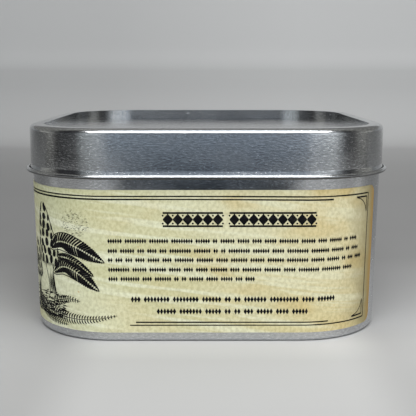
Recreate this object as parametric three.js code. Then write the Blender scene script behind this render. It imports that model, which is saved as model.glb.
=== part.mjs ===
// A square tinplate tin with rounded corners, a slip-on lid and a paper label round its body.
// Millimetres, +Z up. The origin is the middle of the base, and the front of the label faces -Y.

import * as THREE from 'three';
import { mergeVertices } from 'three/addons/utils/BufferGeometryUtils.js';

// ---------------------------------------------------------------- driving dimensions

const LID_WIDTH = 105;            // across the flats of the lid's skirt
const HEIGHT = 60;                // base to lid rim
const CORNER_RADIUS = 26;         // of the skirt, seen from above
const SHEET = 0.25;               // tinplate
const PAPER = 0.15;
const CORNER_STEPS = 9;           // facets in each quarter turn

const SLIP_GAP = 0.2;             // between the skirt and the body inside it
const SKIRT_HEIGHT = 13.04;       // lid rim to the middle of the bead
const BEAD_DIAMETER = 1.2;        // rolled lower edge of the skirt
const BEAD_FLARE = 0.4;           // the skirt leans out by this much just above the bead
const BEAD_FLARE_HEIGHT = 1.5;
const LID_EDGE_RADIUS = 1.5;      // outer edge of the rim
const RIM_WIDTH = 4;              // skirt to the wall of the sunken panel
const RIM_INNER_RADIUS = 0.35;
const PANEL_DEPTH = 2.8;          // rim to sunken panel
const PANEL_EDGE_RADIUS = 0.4;

const WALL_DRAFT = 0.9;           // the body is this much narrower at its foot, each side
const FOOT_RADIUS = 1.2;          // round lower edge of the body
const FOOT_WIDTH = 3.4;           // flat ring that the tin stands on
const BASE_RISE = 0.7;            // base panel above the foot ring
const BASE_STEP_RADIUS = 0.5;
const TOP_CURL_DIAMETER = 1.5;    // body's top edge, rolled inwards
const TOP_CLEARANCE = 0.15;       // body's top edge to the underside of the lid's rim

const LABEL_BOTTOM = 2.7;
const LABEL_TOP = 43.3;
const LABEL_GAP = 0.05;           // paste line under the paper
const LABEL_END_ANGLE = 58.3;     // degrees round the corner where the label stops
const LABEL_CORNER_RADIUS = 2.6;

// ---------------------------------------------------------------- worked out from them

const LID_HALF = LID_WIDTH / 2;
const FLAT = LID_HALF - CORNER_RADIUS;              // half the straight part of a side
const BODY_HALF = LID_HALF - SHEET - SLIP_GAP;      // outside of the body, under the lid
const BEAD_Z = HEIGHT - SKIRT_HEIGHT;
const PANEL_Z = HEIGHT - PANEL_DEPTH;
const BODY_TOP = HEIGHT - SHEET - TOP_CLEARANCE;

const bodyHalfAt = (z) => BODY_HALF - WALL_DRAFT * (1 - z / BODY_TOP);

// ---------------------------------------------------------------- shapes

// A station is a place on the way round the tin: a corner's centre and the way that it faces.
// Between two corners the stations leave a straight side.
function station(corner, angle) {
  const middle = Math.PI / 4 + corner * Math.PI / 2;
  const facing = corner * Math.PI / 2 + angle;
  return {
    centre: new THREE.Vector2(Math.sign(Math.cos(middle)), Math.sign(Math.sin(middle))).multiplyScalar(FLAT),
    facing: new THREE.Vector2(Math.cos(facing), Math.sin(facing)),
  };
}

function stationsOfCorner(corner, from = 0, to = Math.PI / 2) {
  const step = Math.PI / 2 / CORNER_STEPS;
  const angles = [from];
  for (let k = 1; k < CORNER_STEPS; k += 1) {
    if (k * step > from + step / 4 && k * step < to - step / 4) angles.push(k * step);
  }
  angles.push(to);
  return angles.map((angle) => station(corner, angle));
}

// The point at a station that is `half` out from the middle of the tin, measured across the flats.
// A half of zero is the tin's own axis.
function pointAt(place, half, z) {
  if (half === 0) return [0, 0, z];
  const reach = half - FLAT;
  return [place.centre.x + place.facing.x * reach, place.centre.y + place.facing.y * reach, z];
}

// Joins one outline to the next all the way round, or from end to end with a cap on each end.
function loft(outlines, goesRound) {
  const count = outlines[0].length;
  const positions = outlines.flat(2);
  const triangles = [];
  const last = goesRound ? outlines.length : outlines.length - 1;
  for (let i = 0; i < last; i += 1) {
    const here = i * count;
    const there = ((i + 1) % outlines.length) * count;
    for (let j = 0; j < count; j += 1) {
      const next = (j + 1) % count;
      triangles.push(here + j, there + next, there + j, here + j, here + next, there + next);
    }
  }
  if (!goesRound) {
    const end = (outlines.length - 1) * count;
    for (let j = 1; j < count - 1; j += 1) {
      triangles.push(0, j + 1, j, end, end + j, end + j + 1);
    }
  }
  const geometry = new THREE.BufferGeometry();
  geometry.setAttribute('position', new THREE.Float32BufferAttribute(positions, 3));
  geometry.setIndex(triangles);
  return withoutSlivers(mergeVertices(geometry, 1e-4));
}

// Facets that shrink to a line where an outline meets the axis are dropped.
function withoutSlivers(geometry) {
  const index = geometry.getIndex().array;
  const kept = [];
  for (let i = 0; i < index.length; i += 3) {
    const [a, b, c] = index.slice(i, i + 3);
    if (a !== b && b !== c && c !== a) kept.push(a, b, c);
  }
  geometry.setIndex(kept);
  return geometry;
}

// Thickens a bent line of sheet metal. The line runs from the axis outwards, and each of its points
// is moved to both sides, so that every stretch between two points has the full thickness.
function sheetOutline(line, thickness) {
  const near = [];
  const far = [];
  line.forEach((point, i) => {
    const next = line[Math.min(i + 1, line.length - 1)];
    const previous = line[Math.max(i - 1, 0)];
    const leaving = next.clone().sub(point).normalize();
    const arriving = point.clone().sub(previous).normalize();
    const along = arriving.clone().add(leaving).normalize();
    const lean = along.dot(i === 0 ? leaving : arriving);
    const shift = new THREE.Vector2(-along.y, along.x).multiplyScalar(thickness / 2 / lean);
    near.push(point.clone().add(shift));
    far.push(point.clone().sub(shift));
  });
  return [...near, ...far.reverse()];
}

// Points on an arc, in degrees, both ends included.
function arc(x, z, radius, from, to, steps) {
  const curve = new THREE.EllipseCurve(
    x, z, radius, radius, from * THREE.MathUtils.DEG2RAD, to * THREE.MathUtils.DEG2RAD, to < from);
  return curve.getPoints(steps);
}

function pressedSheet(line) {
  const outline = sheetOutline(line, SHEET);
  const places = [0, 1, 2, 3].flatMap((corner) => stationsOfCorner(corner));
  return loft(places.map((place) => outline.map((p) => pointAt(place, Math.max(p.x, 0), p.y))), true);
}

// ---------------------------------------------------------------- the pieces

// The drawn body: base panel, foot ring, round edge, wall and inward curl.
function makeBody() {
  const mid = SHEET / 2;
  const footRadius = FOOT_RADIUS - mid;
  const footHalf = bodyHalfAt(FOOT_RADIUS) - FOOT_RADIUS;      // outer edge of the foot ring
  const stepHalf = footHalf - FOOT_WIDTH;                      // inner edge of the foot ring
  const stepRadius = BASE_STEP_RADIUS;
  const curlRadius = TOP_CURL_DIAMETER / 2 - mid;
  const curlZ = BODY_TOP - TOP_CURL_DIAMETER / 2;
  const curlX = bodyHalfAt(curlZ) - TOP_CURL_DIAMETER / 2;
  const line = [
    new THREE.Vector2(0, BASE_RISE + mid),
    new THREE.Vector2(stepHalf - BASE_RISE - stepRadius, BASE_RISE + mid),
    new THREE.Vector2(stepHalf - stepRadius, mid),
    ...arc(footHalf, FOOT_RADIUS, footRadius, 270, 360, 5),
    ...arc(curlX, curlZ, curlRadius, 0, 250, 10),
  ];
  return pressedSheet(line);
}

// The lid: sunken panel, its wall, the flat rim, the skirt and the bead rolled outwards and up.
function makeLid() {
  const mid = SHEET / 2;
  const rimZ = HEIGHT - mid;
  const skirtX = LID_HALF - mid;
  const wallX = LID_HALF - RIM_WIDTH;
  const beadRadius = BEAD_DIAMETER / 2 - mid;
  const innerRadius = RIM_INNER_RADIUS - mid;
  const edgeRadius = LID_EDGE_RADIUS - mid;
  const line = [
    new THREE.Vector2(0, PANEL_Z - mid),
    ...arc(wallX - PANEL_EDGE_RADIUS, PANEL_Z - mid + PANEL_EDGE_RADIUS, PANEL_EDGE_RADIUS, 270, 350, 4),
    ...arc(wallX + innerRadius, rimZ - innerRadius, innerRadius, 170, 90, 4),
    ...arc(skirtX - edgeRadius, rimZ - edgeRadius, edgeRadius, 90, 0, 5),
    new THREE.Vector2(skirtX, BEAD_Z + BEAD_FLARE_HEIGHT),
    ...arc(skirtX + BEAD_FLARE + beadRadius, BEAD_Z, beadRadius, 180, 465, 12),
  ];
  return pressedSheet(line);
}

// The paper wrapped round the body, from one corner on the right, over the front, the left side and
// the back, to the other corner on the right. Its four paper corners are rounded.
function makeWrapLabel() {
  const end = THREE.MathUtils.degToRad(LABEL_END_ANGLE);
  const radius = LABEL_CORNER_RADIUS;
  const turn = radius / CORNER_RADIUS;              // angle that a paper corner takes up
  const reliefs = [0, 0.08, 0.3, 0.62, 1];          // places within a paper corner
  const relief = (share) => radius * (1 - Math.sqrt(Math.max(1 - (1 - share) ** 2, 0)));
  const section = (place, cut) => {
    const low = LABEL_BOTTOM + cut;
    const high = LABEL_TOP - cut;
    const inner = (z) => bodyHalfAt(z) + LABEL_GAP;
    return [
      pointAt(place, inner(low), low),
      pointAt(place, inner(high), high),
      pointAt(place, inner(high) + PAPER, high),
      pointAt(place, inner(low) + PAPER, low),
    ];
  };
  const start = Math.PI / 2 - end;                  // back right corner
  const sections = reliefs.map((share) => section(station(0, start + share * turn), relief(share)));
  stationsOfCorner(0, start + turn).slice(1).forEach((place) => sections.push(section(place, 0)));
  [1, 2].forEach((corner) => {
    stationsOfCorner(corner).forEach((place) => sections.push(section(place, 0)));
  });
  stationsOfCorner(3, 0, end - turn).slice(0, -1).forEach((place) => sections.push(section(place, 0)));
  [...reliefs].reverse().forEach((share) => {
    sections.push(section(station(3, end - share * turn), relief(share)));
  });
  return loft(sections, false);
}

// ---------------------------------------------------------------- the tin

const tinplate = { color: 0x9b9c98, roughness: 0.34, metalness: 1 };
const paper = { color: 0xddd9b6, roughness: 0.78, metalness: 0 };

function piece(name, geometry, finish) {
  const mesh = new THREE.Mesh(geometry, new THREE.MeshStandardMaterial(finish));
  mesh.name = name;
  return mesh;
}

const tin = new THREE.Group();
tin.add(piece('tin_body', makeBody(), tinplate));
tin.add(piece('lid', makeLid(), tinplate));
tin.add(piece('wrap_label', makeWrapLabel(), paper));

export default tin;
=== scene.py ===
import math
import random

import bmesh
import bpy
from mathutils import Matrix, Vector


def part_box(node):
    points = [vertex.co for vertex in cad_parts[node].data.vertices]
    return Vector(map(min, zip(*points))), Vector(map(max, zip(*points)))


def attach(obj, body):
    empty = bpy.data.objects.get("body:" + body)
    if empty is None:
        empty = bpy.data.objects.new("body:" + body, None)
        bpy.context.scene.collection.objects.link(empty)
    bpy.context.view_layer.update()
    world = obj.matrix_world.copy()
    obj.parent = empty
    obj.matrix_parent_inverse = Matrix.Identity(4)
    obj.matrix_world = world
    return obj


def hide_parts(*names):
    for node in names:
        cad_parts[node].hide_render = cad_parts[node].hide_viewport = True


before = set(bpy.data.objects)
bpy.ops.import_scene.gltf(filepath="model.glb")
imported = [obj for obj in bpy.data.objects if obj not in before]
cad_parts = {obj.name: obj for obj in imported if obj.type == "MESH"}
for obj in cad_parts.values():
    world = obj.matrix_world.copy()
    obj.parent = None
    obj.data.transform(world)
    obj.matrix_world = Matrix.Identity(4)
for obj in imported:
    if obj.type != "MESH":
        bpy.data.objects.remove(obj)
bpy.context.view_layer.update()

MM = 0.001


# ------------------------------------------------------------------ tin body
# A seamless cup, deep drawn from one sheet of tinplate: a raised base panel inside a flat foot ring, a
# round lower edge, a straight wall and a top edge rolled inwards. Nothing is welded or seamed.

sheet = 0.25 * MM
corner_radius = 26 * MM                 # of the lid's skirt, seen from above
bead_reach = 1.35 * MM                  # how far the lid's bead stands out
lid_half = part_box("lid")[1].x - bead_reach
flat = lid_half - corner_radius         # half the straight part of a side
scaled_half = flat + 4 * MM             # rings inside this one are copies of it, made smaller
outline_radius = 25.6 * MM              # corner radius that distances along the outline are measured on
side_length = 2 * flat
quarter_length = outline_radius * math.pi / 2
side_steps, corner_steps = 12, 28       # points that a ring has on each side and round each corner

body_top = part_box("tin_body")[1].z
body_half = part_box("tin_body")[1].x
wall_draft = 0.9 * MM                   # the foot is this much narrower, each side
foot_radius = 1.2 * MM
foot_width = 3.4 * MM
base_rise = 0.7 * MM
base_step = 0.5 * MM
top_curl = 1.5 * MM                     # diameter of the rolled top edge


def wall_half(z):
    """Half the body's width at a height."""
    return body_half - wall_draft * (1 - z / body_top)


def round_the_tin(along, half, z):
    """The point at a distance along the tin's outline, counted to the right from the middle of the front,
    and half its width out."""
    corner, rest = divmod(along + flat, side_length + quarter_length)
    shrink = min(half / scaled_half, 1)
    reach = max(half, scaled_half) - flat
    if rest < side_length:
        point = Vector((rest - flat, -flat - reach, 0))
    else:
        angle = (rest - side_length) / outline_radius
        point = Vector((flat + reach * math.sin(angle), -flat - reach * math.cos(angle), 0))
    point = Matrix.Rotation(corner * math.pi / 2, 3, "Z") @ (point * shrink)
    return Vector((point.x, point.y, z))


def stations():
    """Distances along the outline for one ring of points, finer in the corners, and the whole way round."""
    found = []
    for corner in range(4):
        start = corner * (side_length + quarter_length) - flat
        found += [start + side_length * k / side_steps for k in range(side_steps)]
        found += [start + side_length + quarter_length * k / corner_steps for k in range(corner_steps)]
    return found, 4 * (side_length + quarter_length)


def arc(x, z, radius, start, end, steps):
    """Points on an arc in a profile, in degrees, both ends included."""
    angles = [math.radians(start + (end - start) * k / steps) for k in range(steps + 1)]
    return [Vector((x + radius * math.cos(a), z + radius * math.sin(a))) for a in angles]


longest_step = 4 * MM
hold = 0.15 * MM                        # from a bend to the point that keeps its shading off the flat


def even_steps(line):
    """The same line with points added, so that no stretch is longer than the longest step. A long stretch
    also gets a point close to each of its ends."""
    found = [line[0]]
    for start, end in zip(line, line[1:]):
        length = (end - start).length
        if length > 6 * hold:
            parts = math.ceil(length / longest_step)
            shares = [hold / length, *(k / parts for k in range(1, parts)), 1 - hold / length, 1]
        else:
            shares = [1]
        found += [start.lerp(end, share) for share in shares]
    return found


def both_sides(line, thickness):
    """A profile for sheet metal: one side of the line, from the tin's axis outwards, and the other back."""
    near, far = [], []
    for i, point in enumerate(line):
        arriving = (point - line[i - 1]).normalized() if i else Vector((0, 0))
        leaving = (line[i + 1] - point).normalized() if i + 1 < len(line) else Vector((0, 0))
        along = (arriving + leaving).normalized()
        lean = along.dot(arriving if i else leaving)
        shift = Vector((-along.y, along.x)) * (thickness / 2 / lean)
        near.append(point + shift)
        far.append(point - shift)
    return near + far[::-1]


sharp_bend = math.radians(50)           # edges that turn by more than this are left crisp


def new_piece(name, mesh, material, *nodes, slot):
    """Puts a finished mesh in the scene, riding on the tin's one body in place of its CAD nodes."""
    piece = bpy.data.objects.new(name, mesh)
    bpy.context.scene.collection.objects.link(piece)
    mesh.materials.append(material)
    mesh.shade_smooth()
    mesh.set_sharp_from_angle(angle=sharp_bend)
    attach(piece, "root")
    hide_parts(*nodes)
    return piece


level_half = lid_half - 5 * MM          # the base and the lid's panel lie level inside this
merge_distance = 1e-6


def pressed_sheet(name, line):
    """Sweeps a bent line of sheet metal round the tin's outline. The map named sheet lies flat on the
    metal, in metres, so that a finish follows the sheet round its bends."""
    profile = both_sides(line, sheet)
    ring, whole_way = stations()
    count = len(profile)
    travelled = [0]
    for a, b in zip(profile, profile[1:]):
        travelled.append(travelled[-1] + (b - a).length)
    shell = bmesh.new()
    flat_map = shell.loops.layers.uv.new("sheet")
    rows = []
    for along in ring:
        rows.append([shell.verts.new(round_the_tin(along, max(p.x, 0), p.y)) for p in profile])
    for i, row in enumerate(rows):
        after = rows[(i + 1) % len(rows)]
        begin, end = ring[i], ring[i + 1] if i + 1 < len(ring) else ring[0] + whole_way
        for j in range(count - 1):
            face = shell.faces.new((row[j], row[j + 1], after[j + 1], after[j]))
            level = max(profile[j].x, profile[j + 1].x) < level_half
            corners = ((begin, travelled[j]), (begin, travelled[j + 1]),
                       (end, travelled[j + 1]), (end, travelled[j]))
            for loop, unrolled in zip(face.loops, corners):
                loop[flat_map].uv = loop.vert.co.xy if level else unrolled
    bmesh.ops.remove_doubles(shell, verts=shell.verts, dist=merge_distance)
    bmesh.ops.recalc_face_normals(shell, faces=shell.faces)
    mesh = bpy.data.meshes.new(name)
    shell.to_mesh(mesh)
    shell.free()
    return mesh


def body_line():
    """The middle of the sheet, from the axis across the base, up the wall and round the top edge."""
    mid = sheet / 2
    foot_half = wall_half(foot_radius) - foot_radius
    step_half = foot_half - foot_width
    curl_z = body_top - top_curl / 2
    curl_x = wall_half(curl_z) - top_curl / 2
    line = [Vector((0, base_rise + mid))]
    line += arc(step_half - base_rise - 2 * base_step, base_rise + mid - base_step, base_step, 90, 45, 3)
    line += arc(step_half, mid + base_step, base_step, 225, 270, 3)
    line += arc(foot_half, foot_radius, foot_radius - mid, 270, 360, 9)
    line += arc(curl_x, curl_z, top_curl / 2 - mid, 0, 250, 18)
    return even_steps(line)


def shader(name):
    """A new material, its node tree and its Principled node."""
    material = bpy.data.materials.new(name)
    material.use_nodes = True
    return material, material.node_tree, material.node_tree.nodes["Principled BSDF"]


def add(tree, kind, inputs=None, **settings):
    """Adds a node. Inputs are numbers, colours or the sockets that feed them."""
    node = tree.nodes.new("ShaderNode" + kind)
    for key, value in settings.items():
        setattr(node, key, value)
    for key, value in (inputs or {}).items():
        if isinstance(value, bpy.types.NodeSocket):
            tree.links.new(value, node.inputs[key])
        else:
            node.inputs[key].default_value = value
    return node


def maths(tree, operation, *values):
    """What a Math node makes of its values."""
    return add(tree, "Math", dict(enumerate(values)), operation=operation).outputs[0]


def mix(tree, share, under, over, blend_type="MIX"):
    """One colour over another. Share is how much of the second one shows."""
    node = add(tree, "Mix", {"Factor": share, "A": under, "B": over}, data_type="RGBA",
               blend_type=blend_type)
    return node.outputs["Result"]


def spread(tree, value, low, high, to_low=0.0, to_high=1.0, smooth=False):
    """Carries a value from one range to another, and holds it at both ends."""
    node = add(tree, "MapRange", {"Value": value, "From Min": low, "From Max": high,
                                  "To Min": to_low, "To Max": to_high},
               interpolation_type="SMOOTHSTEP" if smooth else "LINEAR")
    return node.outputs[0]


def new_group(name, inputs, outputs):
    """A node group. Inputs are (name, kind, value), and outputs are (name, kind)."""
    group = bpy.data.node_groups.new(name, "ShaderNodeTree")
    for label, kind, value in inputs:
        socket = group.interface.new_socket(label, in_out="INPUT", socket_type="NodeSocket" + kind)
        if value is not None:
            socket.default_value = value
    for label, kind in outputs:
        group.interface.new_socket(label, in_out="OUTPUT", socket_type="NodeSocket" + kind)
    return group, group.nodes.new("NodeGroupInput").outputs, group.nodes.new("NodeGroupOutput")


def place(tree, group, **inputs):
    """A copy of a node group in a tree."""
    node = tree.nodes.new("ShaderNodeGroup")
    node.node_tree = group
    for key, value in inputs.items():
        socket = node.inputs[key.replace("_", " ")]
        if isinstance(value, bpy.types.NodeSocket):
            tree.links.new(value, socket)
        else:
            socket.default_value = value
    return node


def fleck_group():
    """Flecks of a stated length and height, drawn out along the sheet. Mask is 1 inside a fleck."""
    group, given, out = new_group(
        "flecks",
        [("Vector", "Vector", None), ("Length", "Float", 0.001), ("Height", "Float", 0.0003),
         ("Least", "Float", 0.5), ("Softness", "Float", 0.1)],
        [("Mask", "Float")])
    size = add(group, "CombineXYZ", {"X": given["Length"], "Y": given["Height"], "Z": 1.0})
    scaled = add(group, "VectorMath", {0: given["Vector"], 1: size.outputs[0]}, operation="DIVIDE")
    cloud = add(group, "TexNoise", {"Vector": scaled.outputs[0], "Scale": 0.5, "Detail": 2.5,
                                    "Roughness": 0.6})
    most = maths(group, "ADD", given["Least"], given["Softness"])
    mask = spread(group, cloud.outputs[0], given["Least"], most, smooth=True)
    group.links.new(mask, out.inputs["Mask"])
    return group


flecks = fleck_group()


def fleck_mask(tree, vector, length, height, least, softness):
    """The mask of one kind of fleck, in a material of its own."""
    return place(tree, flecks, Vector=vector, Length=length, Height=height, Least=least,
                 Softness=softness).outputs[0]


coating_dull, coating_bright = (0.50, 0.51, 0.52, 1), (0.64, 0.65, 0.66, 1)
fleck_bright = (0.86, 0.87, 0.88, 1)
# painted shade: the dark colour laid on the lower half of the lid's bead, standing in for the shade under
# it
painted_shade_colour = (0.10, 0.10, 0.10, 1)
satin = (0.13, 0.20)                    # roughness, from the clearest patches to the dullest
mark_roughness = 0.1                    # that a handling mark adds
calm = 0.15                             # share of flecks and relief left where the metal lies level
fleck_relief = 0.006 * MM


def tinplate_material(name, painted_shade_heights=None):
    """Satin tinplate: a mottled tin coating with short bright rolling flecks and a few handling marks.
    Painted shade is two heights: below the first the metal's colour is darkened as painted shade, fully
    from the second down."""
    material, tree, surface = shader(name)
    on_sheet = add(tree, "UVMap", uv_map="sheet").outputs[0]
    coating = fleck_mask(tree, on_sheet, 0.55 * MM, 0.24 * MM, 0.34, 0.34)
    sparkle = fleck_mask(tree, on_sheet, 0.6 * MM, 0.13 * MM, 0.60, 0.08)
    cloud = fleck_mask(tree, on_sheet, 9 * MM, 4 * MM, 0.3, 0.4)
    marks = fleck_mask(tree, on_sheet, 3 * MM, 0.16 * MM, 0.66, 0.05)
    facing = add(tree, "SeparateXYZ", {0: add(tree, "NewGeometry").outputs["Normal"]}).outputs["Z"]
    upright = spread(tree, maths(tree, "ABSOLUTE", facing), 0.9, 0.99, 1.0, calm)

    metal = mix(tree, coating, coating_dull, coating_bright)
    metal = mix(tree, maths(tree, "MULTIPLY", sparkle, upright), metal, fleck_bright)
    # painted shade: the metal's colour darkens below the given heights
    if painted_shade_heights:
        level = add(tree, "SeparateXYZ", {0: add(tree, "TexCoord").outputs["Object"]}).outputs["Z"]
        metal = mix(tree, spread(tree, level, *painted_shade_heights), metal, painted_shade_colour)
    tree.links.new(metal, surface.inputs["Base Color"])

    rough = maths(tree, "MULTIPLY_ADD", marks, mark_roughness, spread(tree, cloud, 0.0, 1.0, *satin))
    tree.links.new(rough, surface.inputs["Roughness"])

    relief = maths(tree, "ADD", coating, sparkle)
    depth = maths(tree, "MULTIPLY", upright, 0.5)
    bump = add(tree, "Bump", {"Height": relief, "Strength": depth, "Distance": fleck_relief})
    tree.links.new(bump.outputs[0], surface.inputs["Normal"])
    surface.inputs["Metallic"].default_value = 1.0
    return material


body_tinplate = tinplate_material("body_tinplate")
new_piece("tin_body_drawn", pressed_sheet("tin_body_drawn", body_line()), body_tinplate, "tin_body",
          slot="tinplate")


# ------------------------------------------------------------------ wrap label
# A strip of aged parchment paper, pasted round three sides of the body and well into the corners of the
# fourth. Its paper corners are rounded, and its two ends are browned with age and darkened further by
# painted shade, where the paper turns round the corners away from the light.

label_low, label_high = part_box("wrap_label")
label_bottom, label_top = label_low.z, label_high.z
paper_thickness = 0.15 * MM
paste = 0.05 * MM
label_turn = math.radians(58.3)         # how far the label goes into each corner of the bare side
label_corner = 2.6 * MM
label_right = flat + label_turn * outline_radius
label_length = 3 * side_length + outline_radius * (math.pi + 2 * label_turn)
label_left = label_right - label_length


def wrap_label_mesh():
    """The pasted strip: a thin closed sheet with rounded paper corners."""
    steps = [label_left + label_corner * (1 - math.cos(math.radians(a))) for a in range(0, 90, 10)]
    ring, whole_way = stations()
    inside = (label_left + label_corner * 1.02, label_right - label_corner * 1.02)
    steps += sorted(a - whole_way * back for a in ring for back in (0, 1)
                    if inside[0] < a - whole_way * back < inside[1])
    steps += [label_right - label_corner * (1 - math.cos(math.radians(a))) for a in range(80, -1, -10)]
    strip = bmesh.new()
    flat_map = strip.loops.layers.uv.new("sheet")
    rows = 8
    rims = []
    where = {}
    for along in steps:
        inset = max(0, label_corner - min(along - label_left, label_right - along))
        cut = label_corner - math.sqrt(max(label_corner ** 2 - inset ** 2, 0))
        low, high = label_bottom + cut, label_top - cut
        rim = []
        for side in (0, 1):
            heights = [low + (high - low) * k / rows for k in range(rows + 1)]
            for z in heights if side == 0 else heights[::-1]:
                half = wall_half(z) + paste + (paper_thickness if side else 0)
                vert = strip.verts.new(round_the_tin(along, half, z))
                where[vert] = (along, z)
                rim.append(vert)
        rims.append(rim)
    for before, after in zip(rims, rims[1:]):
        for j in range(len(before)):
            k = (j + 1) % len(before)
            strip.faces.new((before[j], after[j], after[k], before[k]))
    for rim in (rims[0], rims[-1]):
        for j in range(rows):
            strip.faces.new((rim[j], rim[j + 1], rim[-2 - j], rim[-1 - j]))
    for face in strip.faces:
        for loop in face.loops:
            loop[flat_map].uv = where[loop.vert]
    bmesh.ops.recalc_face_normals(strip, faces=strip.faces)
    mesh = bpy.data.meshes.new("wrap_label_paper")
    strip.to_mesh(mesh)
    strip.free()
    return mesh


fresh_cool, fresh_warm = (0.56, 0.57, 0.34, 1), (0.65, 0.56, 0.305, 1)
bleached_paper = (0.77, 0.785, 0.60, 1)
yellow_stain, rust_spot = (0.61, 0.49, 0.23, 1), (0.50, 0.28, 0.07, 1)
fibre_shade, white = (0.80, 0.79, 0.74, 1), (1, 1, 1, 1)
streak_slant = 0.13                     # how steeply the pale streaks fall to the right
# how far each browning reaches in from an end, how strong it is, and its colour; the broad first one is
# both browning with age and painted shade where the paper turns round the corner away from the light
brownings_and_shade = ((15 * MM, 0.95, (0.27, 0.225, 0.11, 1)), (3.2 * MM, 0.85, (0.36, 0.215, 0.055, 1)))


def parchment_group():
    """The colour of aged paper: pale streaks, yellow blotches, fibres and a few rust spots, browned
    near its ends and darkened there further by painted shade. End is the distance from the nearer end, and
    Warmth turns the paper from greenish to golden."""
    group, given, out = new_group(
        "parchment",
        [("Vector", "Vector", None), ("End", "Float", 0.01), ("Warmth", "Float", 0.5)],
        [("Color", "Color"), ("Fibre", "Float")])
    at = given["Vector"]
    parts = add(group, "SeparateXYZ", {0: at})
    sunk = maths(group, "MULTIPLY_ADD", parts.outputs["X"], streak_slant, parts.outputs["Y"])
    slanted = add(group, "CombineXYZ", {"X": parts.outputs["X"], "Y": sunk}).outputs[0]
    streak = fleck_mask(group, slanted, 34 * MM, 1.5 * MM, 0.44, 0.15)
    broad = fleck_mask(group, slanted, 60 * MM, 22 * MM, 0.35, 0.3)
    blotch = fleck_mask(group, at, 12 * MM, 7 * MM, 0.46, 0.22)
    fibre = fleck_mask(group, at, 0.45 * MM, 0.6 * MM, 0.3, 0.35)
    spots = fleck_mask(group, at, 2.2 * MM, 1.6 * MM, 0.72, 0.08)

    paper = mix(group, given["Warmth"], fresh_cool, fresh_warm)
    fading = spread(group, given["Warmth"], 0.0, 1.0, 0.85, 0.5)
    bleached = maths(group, "MULTIPLY", maths(group, "MAXIMUM", streak, broad), fading)
    paper = mix(group, bleached, paper, bleached_paper)
    paper = mix(group, maths(group, "MULTIPLY", blotch, given["Warmth"]), paper, yellow_stain)
    paper = mix(group, 1.0, paper, mix(group, fibre, fibre_shade, white), "MULTIPLY")
    paper = mix(group, spots, paper, rust_spot)
    wander = add(group, "TexNoise", {"Vector": at, "Scale": 220.0, "Detail": 3.0}).outputs[0]
    # browning with age at the ends; the broad one also paints the shade where the paper turns away round
    # the corners
    for reach, share, colour in brownings_and_shade:
        far = spread(group, wander, 0.0, 1.0, reach * 0.5, reach * 1.5)
        near = spread(group, given["End"], 0.0, far, share, 0.0, smooth=True)
        paper = mix(group, near, paper, colour)
    group.links.new(paper, out.inputs["Color"])
    group.links.new(fibre, out.inputs["Fibre"])
    return group


parchment = parchment_group()
coolest_at = -45 * MM                   # the greenest place along the label
golden_after = 85 * MM                  # from there, to either side, the paper turns golden
fibre_relief = 0.03 * MM


def paper_material():
    """Matt paper."""
    material, tree, surface = shader("label_parchment")
    on_sheet = add(tree, "UVMap", uv_map="sheet").outputs[0]
    along = add(tree, "SeparateXYZ", {0: on_sheet}).outputs["X"]
    away = maths(tree, "ABSOLUTE", maths(tree, "SUBTRACT", along, coolest_at))
    warmth = spread(tree, away, 0.0, golden_after)
    end = maths(tree, "MINIMUM", maths(tree, "SUBTRACT", along, label_left),
                maths(tree, "SUBTRACT", label_right, along))
    paper = place(tree, parchment, Vector=on_sheet, End=end, Warmth=warmth)
    tree.links.new(paper.outputs["Color"], surface.inputs["Base Color"])
    bump = add(tree, "Bump", {"Height": paper.outputs["Fibre"], "Strength": 0.25,
                              "Distance": fibre_relief})
    tree.links.new(bump.outputs[0], surface.inputs["Normal"])
    surface.inputs["Roughness"].default_value = 0.72
    surface.inputs["Specular IOR Level"].default_value = 0.3
    return material


new_piece("wrap_label_paper", wrap_label_mesh(), paper_material(), "wrap_label", slot="label_paper")


# ------------------------------------------------------------------ print on the wrap label
# Black ink pressed on the parchment: a double ruled border with corner brackets, a frieze of lozenges,
# rows of small lozenges, and a botanical engraving of morels with leaves and ferns.

ink_lift = 0.035 * MM
ink_dark, ink_thin = (0.004, 0.004, 0.005, 1), (0.020, 0.019, 0.017, 1)


def even(t):
    return 1.0


def lens(t):
    """Pointed at both ends."""
    return math.sin(math.pi * t)


def oval(t):
    return math.sqrt(max(1 - (2 * t - 1) ** 2, 0))


def lozenge(t):
    return 1 - abs(2 * t - 1)


def blade(t):
    """A leaf: widest near its foot, drawn out to a fine tip."""
    return max(math.sin(math.pi * t ** 0.75), 0) ** 0.8


def taper(t):
    return 1 - t


def curve_through(points, step):
    """A smooth curve through points, as points no further apart than a step."""
    points = [Vector(p) for p in points]
    if len(points) == 2:
        count = max(1, math.ceil((points[1] - points[0]).length / step))
        return [points[0].lerp(points[1], k / count) for k in range(count + 1)]
    ends = [2 * points[0] - points[1], *points, 2 * points[-1] - points[-2]]
    found = [points[0]]
    for a, b, c, d in zip(ends, ends[1:], ends[2:], ends[3:]):
        count = max(2, math.ceil((c - b).length / step))
        for k in range(1, count + 1):
            t = k / count
            found.append(0.5 * (2 * b + (c - a) * t + (2 * a - 5 * b + 4 * c - d) * t ** 2
                                + (3 * b - a - 3 * c + d) * t ** 3))
    return found


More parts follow.
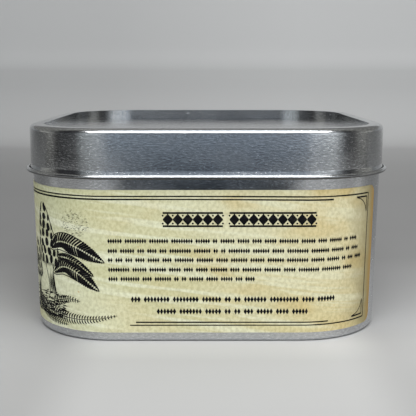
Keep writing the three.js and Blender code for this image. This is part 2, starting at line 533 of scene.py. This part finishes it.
class Ink:
    """Ink shapes on flat paper, all made of pen strokes. Sizes are in millimetres on the paper."""

    def __init__(self):
        self.points = []
        self.faces = []

    def stroke(self, path, width, shape=even, step=0.6):
        """A line along a path, its width following a shape from end to end."""
        line = curve_through(path, step)
        lanes = max(1, math.ceil(width / 0.9))
        rows = []
        for i, point in enumerate(line):
            along = (line[min(i + 1, len(line) - 1)] - line[max(i - 1, 0)]).normalized()
            across = Vector((-along.y, along.x)) * width * max(shape(i / (len(line) - 1)), 0.02) / 2
            first = len(self.points)
            self.points += [point + across * (2 * k / lanes - 1) for k in range(lanes + 1)]
            rows.append(range(first, first + lanes + 1))
        for row, after in zip(rows, rows[1:]):
            for k in range(lanes):
                self.faces.append((row[k], after[k], after[k + 1], row[k + 1]))

    def dot(self, x, y, width, height, shape=oval):
        """A spot of ink: an oval, or a lozenge with that shape."""
        self.stroke([(x, y - height / 2), (x, y + height / 2)], width, shape, step=height / 8)


def rough_rule(ink, draw, start, end, y, width, drop=0.0):
    """A level rule in short lengths of uneven width, as worn type prints it. It can drop a little to its
    right end."""
    x = start
    while x < end:
        after = min(x + draw.uniform(9, 26), end)
        heights = [y - drop * max(reached, 0) / end for reached in (x, after)]
        ink.stroke([(x, heights[0]), (after, heights[1])], width * draw.uniform(0.85, 1.15))
        x = after


def bracket(ink, x, y, right, up):
    """A corner ornament: two short sides and a bow between their ends."""
    ink.stroke([(x, y), (x - 4.6 * right, y + 0.1 * up)], 0.42)
    ink.stroke([(x, y), (x, y - 4.2 * up)], 0.26)
    ink.stroke([(x - 4.6 * right, y), (x - 2.5 * right, y - 0.7 * up), (x - 0.8 * right, y - 2.3 * up),
                (x, y - 4.4 * up)], 0.24)


def border(ink, draw, left, right, low, high):
    """Outer and inner rules with a bracket in each corner."""
    rough_rule(ink, draw, left, right, high, 0.30)
    rough_rule(ink, draw, left, right, low, 0.28)
    rough_rule(ink, draw, left + 13.5, right - 13.5, high - 0.86, 0.42)
    rough_rule(ink, draw, left + 13.5, right - 13.5, low + 0.86, 0.36)
    for x, way in ((left, -1), (right, 1)):
        ink.stroke([(x, low), (x, high)], 0.26)
        for y, up in ((low, -1), (high, 1)):
            bracket(ink, x - 0.75 * way, y - 0.9 * up, way, up)


def frieze(ink, x, y, length, height, count):
    """Solid lozenges between two rules, with small dots in the gaps."""
    pitch = length / count
    for level in (-1, 1):
        at = y + level * height * 0.45
        ink.stroke([(x, at), (x + length, at)], height * 0.13)
    for k in range(count):
        ink.dot(x + pitch * (k + 0.5), y, pitch * 1.1, height * 0.8, lozenge)
    for k in range(count + 1):
        for level in (-1, 1):
            ink.dot(x + pitch * k, y + level * height * 0.27, height * 0.13, height * 0.13)


def grain_line(ink, draw, start, end, y, size, weight):
    """A row of small upright lozenges, gathered in clusters."""
    x = start
    while x < end - size:
        for _ in range(draw.randint(2, 9)):
            if x > end:
                break
            ink.dot(x, y + size / 2, weight * draw.uniform(0.92, 1.08), size, lozenge)
            x += weight * 0.95
        x += size * 0.5


def morel(ink, draw, x, y, height, lean=0.0):
    """A morel: a conical cap of deep irregular pits with pale ridges between them, on a pale stem."""
    cap_foot, cap_height = y + height * 0.36, height * 0.64
    widest = height * 0.2

    def half(t):
        return widest * (1.02 - 0.78 * t ** 1.5) * min(1, 0.72 + 2.4 * t) * min(1, (1.02 - t) * 6) ** 0.5

    def middle(t):
        return x + lean * (0.36 + 0.64 * t) * height

    rows = max(5, round(cap_height / 2.5))
    for row in range(rows):
        t = (row + 0.5) / rows * 0.97
        columns = max(2, round(half(t) * 2 / 1.75))
        shift = draw.uniform(0.2, 0.8)
        for column in range(-1, columns + 1):
            turned = (column + shift) / columns * math.pi - math.pi / 2
            if abs(turned) > 1.36:
                continue
            facing = math.cos(turned)
            wide = half(t) * math.pi / columns * facing * draw.uniform(0.56, 0.74)
            tall = cap_height / rows * draw.uniform(0.78, 1.12)
            at = Vector((middle(t) + half(t) * math.sin(turned) * 0.97,
                         cap_foot + cap_height * t + draw.uniform(-0.35, 0.35)))
            slant = Vector((draw.uniform(-0.3, 0.3) + lean * 0.5, 1)).normalized() * tall / 2
            ink.stroke([at - slant, at + slant], max(wide, 0.18), lambda u: oval(u) ** 0.8,
                       step=tall / 8)
            if facing > 0.5:
                side = Vector((wide * 0.62, -tall * 0.12))
                ink.stroke([at - slant * 0.7 + side, at + slant * 0.5 + side], 0.16, lens, step=0.4)
    for side in (-1, 1):
        edge = []
        for k in range(25):
            t = k / 24
            bulge = 0.14 * math.sin(t * rows * math.pi) ** 2
            edge.append((middle(t) + side * (half(t) + bulge), cap_foot + cap_height * t))
        ink.stroke(edge, 0.30, step=0.5)
        ink.stroke([(x + side * height * 0.078, y), (x + side * height * 0.052, y + height * 0.1),
                    (x + side * height * 0.056 + lean * height * 0.2, y + height * 0.24),
                    (middle(0) + side * height * 0.075, cap_foot)], 0.28)
    for k in range(10):
        share = k / 9
        across = (share * 2 - 1) * height * 0.05
        start, end = draw.uniform(0.0, 0.08), draw.uniform(0.16, 0.26) + 0.1 * share
        ink.stroke([(x + across * 1.1, y + height * start),
                    (x + across + lean * height * end, y + height * end)], 0.12 + 0.22 * share, lens)
    for k in range(16):
        across = (k / 15 * 2 - 1) * widest * 0.72
        ink.stroke([(middle(0) + across, cap_foot + height * 0.015),
                    (middle(0) + across * 0.75, cap_foot - height * draw.uniform(0.015, 0.05))],
                   0.3, taper)


def leaf(ink, draw, path, width, spacing=0.8):
    """A pointed leaf, dark with engraving: a pale midrib, and slanting cuts from it to both margins."""
    line = curve_through(path, spacing)
    count = len(line) - 1
    margins = ([], [])
    for i, point in enumerate(line):
        along = (line[min(i + 1, count)] - line[max(i - 1, 0)]).normalized()
        across = Vector((-along.y, along.x)) * blade(i / count) * width / 2
        for side, margin in zip((-1, 1), margins):
            margin.append(point + across * side)
            far = point + across * side * 0.97 + along * min(width * 0.32, (1 - i / count) * 6)
            if 0 < i < count:
                near = point + across.normalized() * side * 0.14
                ink.stroke([near, near.lerp(far, 0.55) - along * 0.1, far],
                           spacing * draw.uniform(0.62, 0.8), step=0.5)
    for margin in margins:
        ink.stroke(margin, 0.26, step=0.6)


def fern(ink, path, length, spacing=0.95):
    """A fern frond: a stem with pairs of leaflets that shorten towards the tip."""
    line = curve_through(path, spacing)
    ink.stroke(path, 0.34, lambda t: 1 - 0.6 * t)
    for i, point in enumerate(line[1:-1], 1):
        t = i / len(line)
        along = (line[i + 1] - line[i - 1]).normalized()
        across = Vector((-along.y, along.x))
        size = length * (1 - t) ** 0.7 * min(1, 0.55 + t * 2)
        for side in (-1, 1):
            tip = point + across * side * size + along * size * 0.55
            bend = point + across * side * size * 0.6 + along * size * 0.12
            ink.stroke([point, bend, tip], 0.62 * (1 - 0.45 * t), blade, step=0.45)


def ground(ink, draw, left, right, low, high, count):
    """Rough soil: short slanting cuts, denser towards the bottom."""
    for _ in range(count):
        x, y = draw.uniform(left, right), low + (high - low) * draw.random() ** 1.5
        reach = draw.uniform(0.9, 2.6)
        ink.stroke([(x, y), (x + reach, y + draw.uniform(-0.45, 0.75))], draw.uniform(0.16, 0.42), lens)


def sprig(ink, draw, x, y, reach, count):
    """A faint bush far behind: tiny broken cuts in curved rows."""
    for _ in range(count):
        angle, far = draw.uniform(0, 2 * math.pi), reach * math.sqrt(draw.random())
        at = Vector((x + far * math.cos(angle), y + far * 0.8 * math.sin(angle)))
        turned = draw.uniform(-0.5, 1.1)
        size = draw.uniform(0.35, 0.95)
        ink.stroke([at, at + size * Vector((math.cos(turned), math.sin(turned)))],
                   draw.uniform(0.07, 0.13), lens, step=0.5)


def front_print():
    """The front panel, from the left corner to the label's right end."""
    ink = Ink()
    draw = random.Random(11)
    rough_rule(ink, draw, -64, 48.7, 41.6, 0.36, drop=0.25)
    rough_rule(ink, draw, -64, 35.2, 40.76, 0.42, drop=0.25)
    rough_rule(ink, draw, -21.5, 48.6, 4.86, 0.30)
    rough_rule(ink, draw, -19.8, 34.6, 5.72, 0.38)
    ink.stroke([(48.6, 4.86), (48.7, 41.35)], 0.3)
    bracket(ink, 47.9, 40.4, 1, 1)
    bracket(ink, 47.7, 5.9, 1, -1)

    frieze(ink, -12.0, 35.15, 16.5, 4.1, 6)
    frieze(ink, 6.3, 35.15, 23.9, 4.1, 9)
    for y, end in ((29.1, 45.9), (26.3, 44.7), (23.7, 46.2), (20.95, 42.8), (18.3, 13.1)):
        grain_line(ink, draw, -27.0, end, y - 0.75, 1.5, 0.70)
    grain_line(ink, draw, -20.7, 38.8, 12.4 - 0.9, 1.8, 0.95)
    grain_line(ink, draw, -13.5, 31.4, 8.9 - 0.9, 1.8, 0.95)

    leaf(ink, draw, [(-47.0, 25.5), (-42.5, 28.0), (-36.5, 26.8), (-28.3, 22.9)], 5.4)
    leaf(ink, draw, [(-46.0, 18.5), (-41.5, 20.8), (-36.5, 19.4), (-30.0, 14.7)], 4.8)
    leaf(ink, draw, [(-44.0, 23.6), (-40.0, 23.4), (-35.6, 21.6), (-31.6, 18.9)], 2.6)
    morel(ink, draw, -46.6, 10.6, 27.9, -0.14)
    morel(ink, draw, -56.0, 9.6, 17.5, -0.04)
    fern(ink, [(-58, 10.0), (-50, 7.4), (-41, 6.1), (-33, 6.2), (-25.0, 7.6)], 2.9)
    fern(ink, [(-47, 9.5), (-43.5, 10.8), (-39.5, 11.6), (-36.0, 11.2)], 1.9)
    fern(ink, [(-56, 9.0), (-51, 5.8), (-45.5, 4.2), (-40.4, 3.9)], 1.7)
    ground(ink, draw, -61, -42, 5.4, 12.4, 300)
    sprig(ink, draw, -37.5, 33.5, 4.6, 170)
    return ink


def side_print():
    """The panel on the left side: three morels in an oval ring."""
    ink = Ink()
    draw = random.Random(23)
    left, right, low, high = -123.5, -68.0, 4.86, 41.55
    middle, level = (left + right) / 2, (low + high) / 2
    border(ink, draw, left, right, low, high)
    for reach, width in ((1.0, 0.42), (0.94, 0.22)):
        angles = [k * math.pi / 24 for k in range(49)]
        ink.stroke([(middle + 22 * reach * math.cos(a), level + 15.2 * reach * math.sin(a))
                    for a in angles], width)
    leaf(ink, draw, [(middle + 2, 12), (middle + 10, 17.5), (middle + 17.0, 17.0)], 3.4)
    leaf(ink, draw, [(middle - 2, 12), (middle - 10, 20), (middle - 16.5, 21.0)], 3.4)
    morel(ink, draw, middle - 8.6, 11.2, 16.0, -0.08)
    morel(ink, draw, middle + 8.2, 11.0, 18.0, 0.08)
    morel(ink, draw, middle, 10.4, 25.0)
    ground(ink, draw, middle - 13, middle + 11, 10.0, 12.6, 90)
    return ink


def back_print():
    """The panel on the back: a band of ornament over a rule and rows of lozenges, between two ferns."""
    ink = Ink()
    draw = random.Random(37)
    left, right, low, high = -235.2, -127.5, 4.86, 41.55
    middle = (left + right) / 2
    border(ink, draw, left, right, low, high)
    frieze(ink, middle - 28.8, 32.5, 57.6, 6.0, 16)
    ink.stroke([(middle - 26, 26.6), (middle + 26, 26.6)], 0.3)
    for y, reach in ((22.6, 31), (19.7, 33), (16.8, 30), (11.6, 22)):
        grain_line(ink, draw, middle - reach, middle + reach, y, 1.6, 0.8)
    for way in (-1, 1):
        fern(ink, [(middle + way * 44, 8.5), (middle + way * 42.5, 17), (middle + way * 40, 25),
                   (middle + way * 36.5, 32)], 3.4)
        leaf(ink, draw, [(middle + way * 44, 8.5), (middle + way * 39, 13.5),
                         (middle + way * 35, 13.0)], 2.6)
    return ink


def printed_mesh(name, ink, lay):
    """Lays the ink on its paper. lay turns a place on the flat paper, in metres, into a point."""
    mesh = bpy.data.meshes.new(name)
    mesh.from_pydata([lay(p.x * MM, p.y * MM) for p in ink.points], [], ink.faces)
    flat_map = mesh.uv_layers.new(name="sheet")
    for loop in mesh.loops:
        flat_map.data[loop.index].uv = ink.points[loop.vertex_index] * MM
    mesh.validate()
    return mesh


def on_the_wall(along, z):
    return round_the_tin(along, wall_half(z) + paste + paper_thickness + ink_lift, z)


def ink_material():
    """Matt black ink, worn thin in places so that it varies from black to dark brown-grey."""
    material, tree, surface = shader("printing_ink")
    on_sheet = add(tree, "UVMap", uv_map="sheet").outputs[0]
    worn = fleck_mask(tree, on_sheet, 1.2 * MM, 0.9 * MM, 0.45, 0.35)
    tree.links.new(mix(tree, worn, ink_dark, ink_thin), surface.inputs["Base Color"])
    tree.links.new(spread(tree, worn, 0.0, 1.0, 0.55, 0.75), surface.inputs["Roughness"])
    surface.inputs["Specular IOR Level"].default_value = 0.08
    return material


printing_ink = ink_material()
for name, ink in (("front_print", front_print()), ("left_print", side_print()),
                  ("back_print", back_print())):
    new_piece(name, printed_mesh(name, ink, on_the_wall), printing_ink, slot="label_paper")


# ------------------------------------------------------------------ lid
# One pressed sheet of tinplate that slips over the body: a sunken panel inside a narrow flat rim, a
# rounded edge, a straight skirt, and a lower edge rolled outwards into a bead.

lid_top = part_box("lid")[1].z
bead_diameter = 1.2 * MM
bead_flare = 0.4 * MM                   # the skirt leans out by this much just above the bead
bead_flare_height = 1.5 * MM
bead_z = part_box("lid")[0].z + bead_diameter / 2
lid_edge_radius = 1.5 * MM
rim_width = 4 * MM
panel_depth = 2.8 * MM
bead_painted_shade_heights = (bead_z + 0.15 * MM, bead_z - 0.2 * MM)     # painted shade darkens the lower half of the bead, where shade falls under it


def lid_line():
    """The middle of the sheet, from the axis across the panel, up to the rim, down the skirt and round."""
    mid = sheet / 2
    rim_z, skirt_x = lid_top - mid, lid_half - mid
    wall_x = lid_half - rim_width
    panel_z = lid_top - panel_depth - mid
    edge, bead = lid_edge_radius - mid, bead_diameter / 2 - mid
    line = [Vector((0, panel_z)), Vector((wall_x, panel_z)), Vector((wall_x, rim_z))]
    line += arc(skirt_x - edge, rim_z - edge, edge, 90, 0, 10)
    line.append(Vector((skirt_x, bead_z + bead_flare_height)))
    line += arc(skirt_x + bead_flare + bead, bead_z, bead, 180, 465, 24)
    return even_steps(line)


lid_tinplate = tinplate_material("lid_tinplate", painted_shade_heights=bead_painted_shade_heights)
new_piece("lid_pressed", pressed_sheet("lid_pressed", lid_line()), lid_tinplate, "lid", slot="tinplate")


# ------------------------------------------------------------------ stage, light and camera
# A pale paper sweep, a soft light in front, a long one overhead and a weak one behind. Round them is a
# room that the metal mirrors, darkest at both sides of the front. Of the lights, only the front one
# shows in the metal.

sweep_depth = 0.62                      # from the tin's middle back to the upright part
sweep_front = -1.2
sweep_half_width = 1.6
sweep_height = 0.26
sweep_bend = 0.10
bend_settle = 0.01                      # short stretches that keep the bend's shading off the flat parts

# (distance behind the tin's middle, grey): painted light and shade in the paper's colour, dark behind the
# tin, lighter where the paper turns up
painted_floor_greys = ((-0.10, 0.26), (-0.08, 0.28), (-0.065, 0.30), (-0.052, 0.308), (-0.035, 0.29),
               (-0.015, 0.245), (0.01, 0.197), (0.05, 0.148), (0.11, 0.14), (0.24, 0.147),
               (0.36, 0.167), (0.5, 0.212), (0.56, 0.287), (0.59, 0.31), (0.612, 0.317), (0.618, 0.35),
               (0.62, 0.455))
greys_start = -0.2
floor_tint = 0.99                       # blue against red and green
aside_reach, aside_left, aside_right = 0.1, 0.93, 1.06  # painted light: the paper's colour is lighter to the right

# painted light: the paper's colour is lighter just in front of the tin, standing in for the light that the
# tin throws on it
glow_middle, glow_half, glow_fade = 0.004, 0.030, 0.018
glow_near, glow_far = -0.054, -0.066    # where it is strongest, and from where on half is left
glow_gain = 0.45

# Except to the camera itself, the floor in front ends at this distance, or at the nearer one where the
# camera stands.
near_floor, middle_floor = 0.44, 0.13
stand_inner, stand_outer = 0.02, 0.08   # how far aside the camera's place reaches, in full and at all
fade_from = 0.85                        # share of that distance where it starts to fade out
behind_tin = 0.05                       # from here back, the floor doesn't end


def colour_ramp(tree, value, low, high, stops):
    """A colour for each value between low and high, from stops of a value and a colour."""
    ramp = add(tree, "ValToRGB", {"Fac": spread(tree, value, low, high)})
    while len(ramp.color_ramp.elements) < len(stops):
        ramp.color_ramp.elements.new(0.5)
    for element, (where, colour) in zip(ramp.color_ramp.elements, stops):
        element.position = (where - low) / (high - low)
        element.color = (*colour, 1)
    return ramp.outputs[0]


def sweep_material():
    """Matt pale paper, its colour carrying painted light and shade. The camera sees all of it, but mirrored
    and scattered light meets only its near part in front of the tin, so that the dark end of the room shows
    in the metal."""
    material, tree, surface = shader("sweep_paper")
    in_room = add(tree, "TexCoord").outputs["Object"]
    parts = add(tree, "SeparateXYZ", {0: in_room})
    across, back = parts.outputs["X"], parts.outputs["Y"]

    # painted light and shade: the paper's grey changes with the distance back
    stops = [(where, (grey, grey, grey * floor_tint)) for where, grey in painted_floor_greys]
    painted_greys = colour_ramp(tree, back, greys_start, sweep_depth, stops)
    # painted light: the paper's colour is lighter to the right and darker to the left
    aside = spread(tree, across, -aside_reach, aside_reach, aside_left, aside_right)
    off_middle = maths(tree, "ABSOLUTE", maths(tree, "SUBTRACT", across, glow_middle))
    # painted light: a lighter patch of colour just in front of the tin
    lit_across = spread(tree, off_middle, glow_half, glow_half + glow_fade, glow_gain, 0.0, smooth=True)
    lit_along = maths(tree, "MULTIPLY", spread(tree, back, glow_near, glow_far, 1.0, 0.5),
                      maths(tree, "LESS_THAN", back, 0.0))
    painted_glow = maths(tree, "MULTIPLY_ADD", lit_across, lit_along, 1.0)
    tone = maths(tree, "MULTIPLY", aside, painted_glow)
    shaded = add(tree, "VectorMath", {0: painted_greys, "Scale": tone}, operation="SCALE")
    tree.links.new(shaded.outputs[0], surface.inputs["Base Color"])
    surface.inputs["Roughness"].default_value = 0.9
    surface.inputs["Specular IOR Level"].default_value = 0.1

    far = add(tree, "VectorMath", {0: in_room}, operation="LENGTH").outputs["Value"]
    reach = spread(tree, maths(tree, "ABSOLUTE", across), stand_inner, stand_outer, middle_floor,
                   near_floor, smooth=True)
    past = spread(tree, far, maths(tree, "MULTIPLY", reach, fade_from), reach)
    gone = maths(tree, "MULTIPLY", past, maths(tree, "LESS_THAN", back, behind_tin))
    mirrored = maths(tree, "SUBTRACT", 1.0, add(tree, "LightPath").outputs["Is Camera Ray"])
    clear = add(tree, "BsdfTransparent")
    mixed = add(tree, "MixShader", {0: maths(tree, "MULTIPLY", gone, mirrored), 1: surface.outputs[0],
                                    2: clear.outputs[0]})
    tree.links.new(mixed.outputs[0], tree.nodes["Material Output"].inputs["Surface"])
    return material


def sweep():
    """A floor that turns up into a backdrop."""
    bend_start = sweep_depth - sweep_bend
    line = [Vector((sweep_front, 0)), Vector((bend_start - bend_settle, 0))]
    line += arc(bend_start, sweep_bend, sweep_bend, 270, 360, 48)
    line += [Vector((sweep_depth, sweep_bend + bend_settle)), Vector((sweep_depth, sweep_height))]
    mesh = bpy.data.meshes.new("sweep")
    points = [(x, p.x, p.y) for p in line for x in (-sweep_half_width, sweep_half_width)]
    faces = [(2 * k, 2 * k + 1, 2 * k + 3, 2 * k + 2) for k in range(len(line) - 1)]
    mesh.from_pydata(points, [], faces)
    mesh.shade_smooth()
    return mesh


floor = bpy.data.objects.new("sweep", sweep())
floor.data.materials.append(sweep_material())
bpy.context.scene.collection.objects.link(floor)


def softbox(name, place_at, aim, width, height, power, mirrored):
    """A soft lamp. One that isn't mirrored lights the object but doesn't show in its metal."""
    light = bpy.data.lights.new(name, "AREA")
    light.shape = "RECTANGLE"
    light.size, light.size_y = width, height
    light.energy = power
    lamp = bpy.data.objects.new(name, light)
    lamp.location = place_at
    lamp.rotation_euler = (Vector(aim) - Vector(place_at)).to_track_quat("-Z", "Y").to_euler()
    lamp.visible_glossy = mirrored
    bpy.context.scene.collection.objects.link(lamp)


softbox("main", (0.03, -0.52, 0.62), (0, 0, 0.03), 0.95, 0.50, 6.7, True)
softbox("overhead", (0.10, 0.02, 0.85), (0.10, 0.021, 0.0), 0.94, 1.10, 8.6, False)
softbox("rear", (-0.06, 0.60, 0.55), (0, 0, 0.03), 0.60, 0.30, 1.2, False)

# what the metal mirrors: a bearing from the front, in degrees to the right, and a colour
room_bearings = ((-180, (0.24, 0.24, 0.24)), (-100, (0.30, 0.30, 0.28)), (-88, (0.22, 0.22, 0.21)),
                 (-79, (0.04, 0.04, 0.04)), (-70, (0.045, 0.047, 0.05)), (-49, (0.045, 0.047, 0.05)),
                 (-39, (0.38, 0.41, 0.42)), (-20, (0.50, 0.54, 0.57)), (-6, (0.31, 0.37, 0.44)),
                 (4, (0.30, 0.36, 0.44)), (20, (0.60, 0.65, 0.70)), (46, (0.70, 0.74, 0.76)),
                 (58, (0.20, 0.21, 0.22)), (64, (0.05, 0.052, 0.055)), (75, (0.05, 0.05, 0.05)),
                 (85, (0.22, 0.22, 0.21)), (96, (0.30, 0.30, 0.28)), (180, (0.24, 0.24, 0.24)))
# and a height above level, in degrees, and how much of that colour is left there
room_heights = ((-90, 0.10), (-14, 0.08), (-8.5, 0.06), (-5.5, 0.42), (-3, 1.7), (1, 1.7), (5, 1.2),
                (12, 0.85), (20, 0.75), (45, 0.8), (70, 1.5), (90, 1.6))
# a camera in front takes this much of the light at each height, within these two bearings
camera_dark = ((-90, 0), (-1.5, 0), (1, 0.9), (8, 0.9), (12, 0), (90, 0))
camera_width = (9, 20)


def by_angle(tree, value, low, high, stops):
    """A colour ramp over an angle. Its range and its stops are in degrees, and a stop may be one grey."""
    stops = [(math.radians(degrees), colour if isinstance(colour, tuple) else (colour,) * 3)
             for degrees, colour in stops]
    return colour_ramp(tree, value, math.radians(low), math.radians(high), stops)


backdrop_grey = (0.19, 0.19, 0.192, 1)  # the room as the camera sees it, past the sweep

world = bpy.data.worlds.new("room")
bpy.context.scene.world = world
world.use_nodes = True
room = world.node_tree
parts = add(room, "SeparateXYZ", {0: add(room, "TexCoord").outputs["Generated"]})
bearing = maths(room, "ARCTAN2", parts.outputs["X"], maths(room, "MULTIPLY", parts.outputs["Y"], -1.0))
height = maths(room, "ARCSINE", parts.outputs["Z"])
walls = by_angle(room, bearing, -180, 180, room_bearings)
levels = by_angle(room, height, -90, 90, room_heights)
taken = by_angle(room, height, -90, 90, camera_dark)
within = spread(room, maths(room, "ABSOLUTE", bearing), *map(math.radians, camera_width), 1.0, 0.0,
                smooth=True)
hidden = add(room, "VectorMath", {0: taken, "Scale": within}, operation="SCALE").outputs[0]
lit = add(room, "VectorMath", {0: (1, 1, 1), 1: hidden}, operation="SUBTRACT").outputs[0]
for part in (levels, walls):
    lit = add(room, "VectorMath", {0: part, 1: lit}, operation="MULTIPLY").outputs[0]
seen = add(room, "LightPath").outputs["Is Camera Ray"]
room.links.new(mix(room, seen, lit, backdrop_grey), room.nodes["Background"].inputs["Color"])

camera_distance, camera_height = 0.2641, 0.07546
camera_dip, camera_turn = 0.173, -0.0019                # in radians: down, and about the upright
camera_data = bpy.data.cameras.new("camera")
camera_data.lens = 68.24
camera_data.sensor_width = 36
camera = bpy.data.objects.new("camera", camera_data)
camera.location = (0.0, -camera_distance, camera_height)
camera.rotation_euler = (math.pi / 2 - camera_dip, 0, camera_turn)
bpy.context.scene.collection.objects.link(camera)
bpy.context.scene.camera = camera
bpy.context.scene.view_settings.view_transform = "Standard"
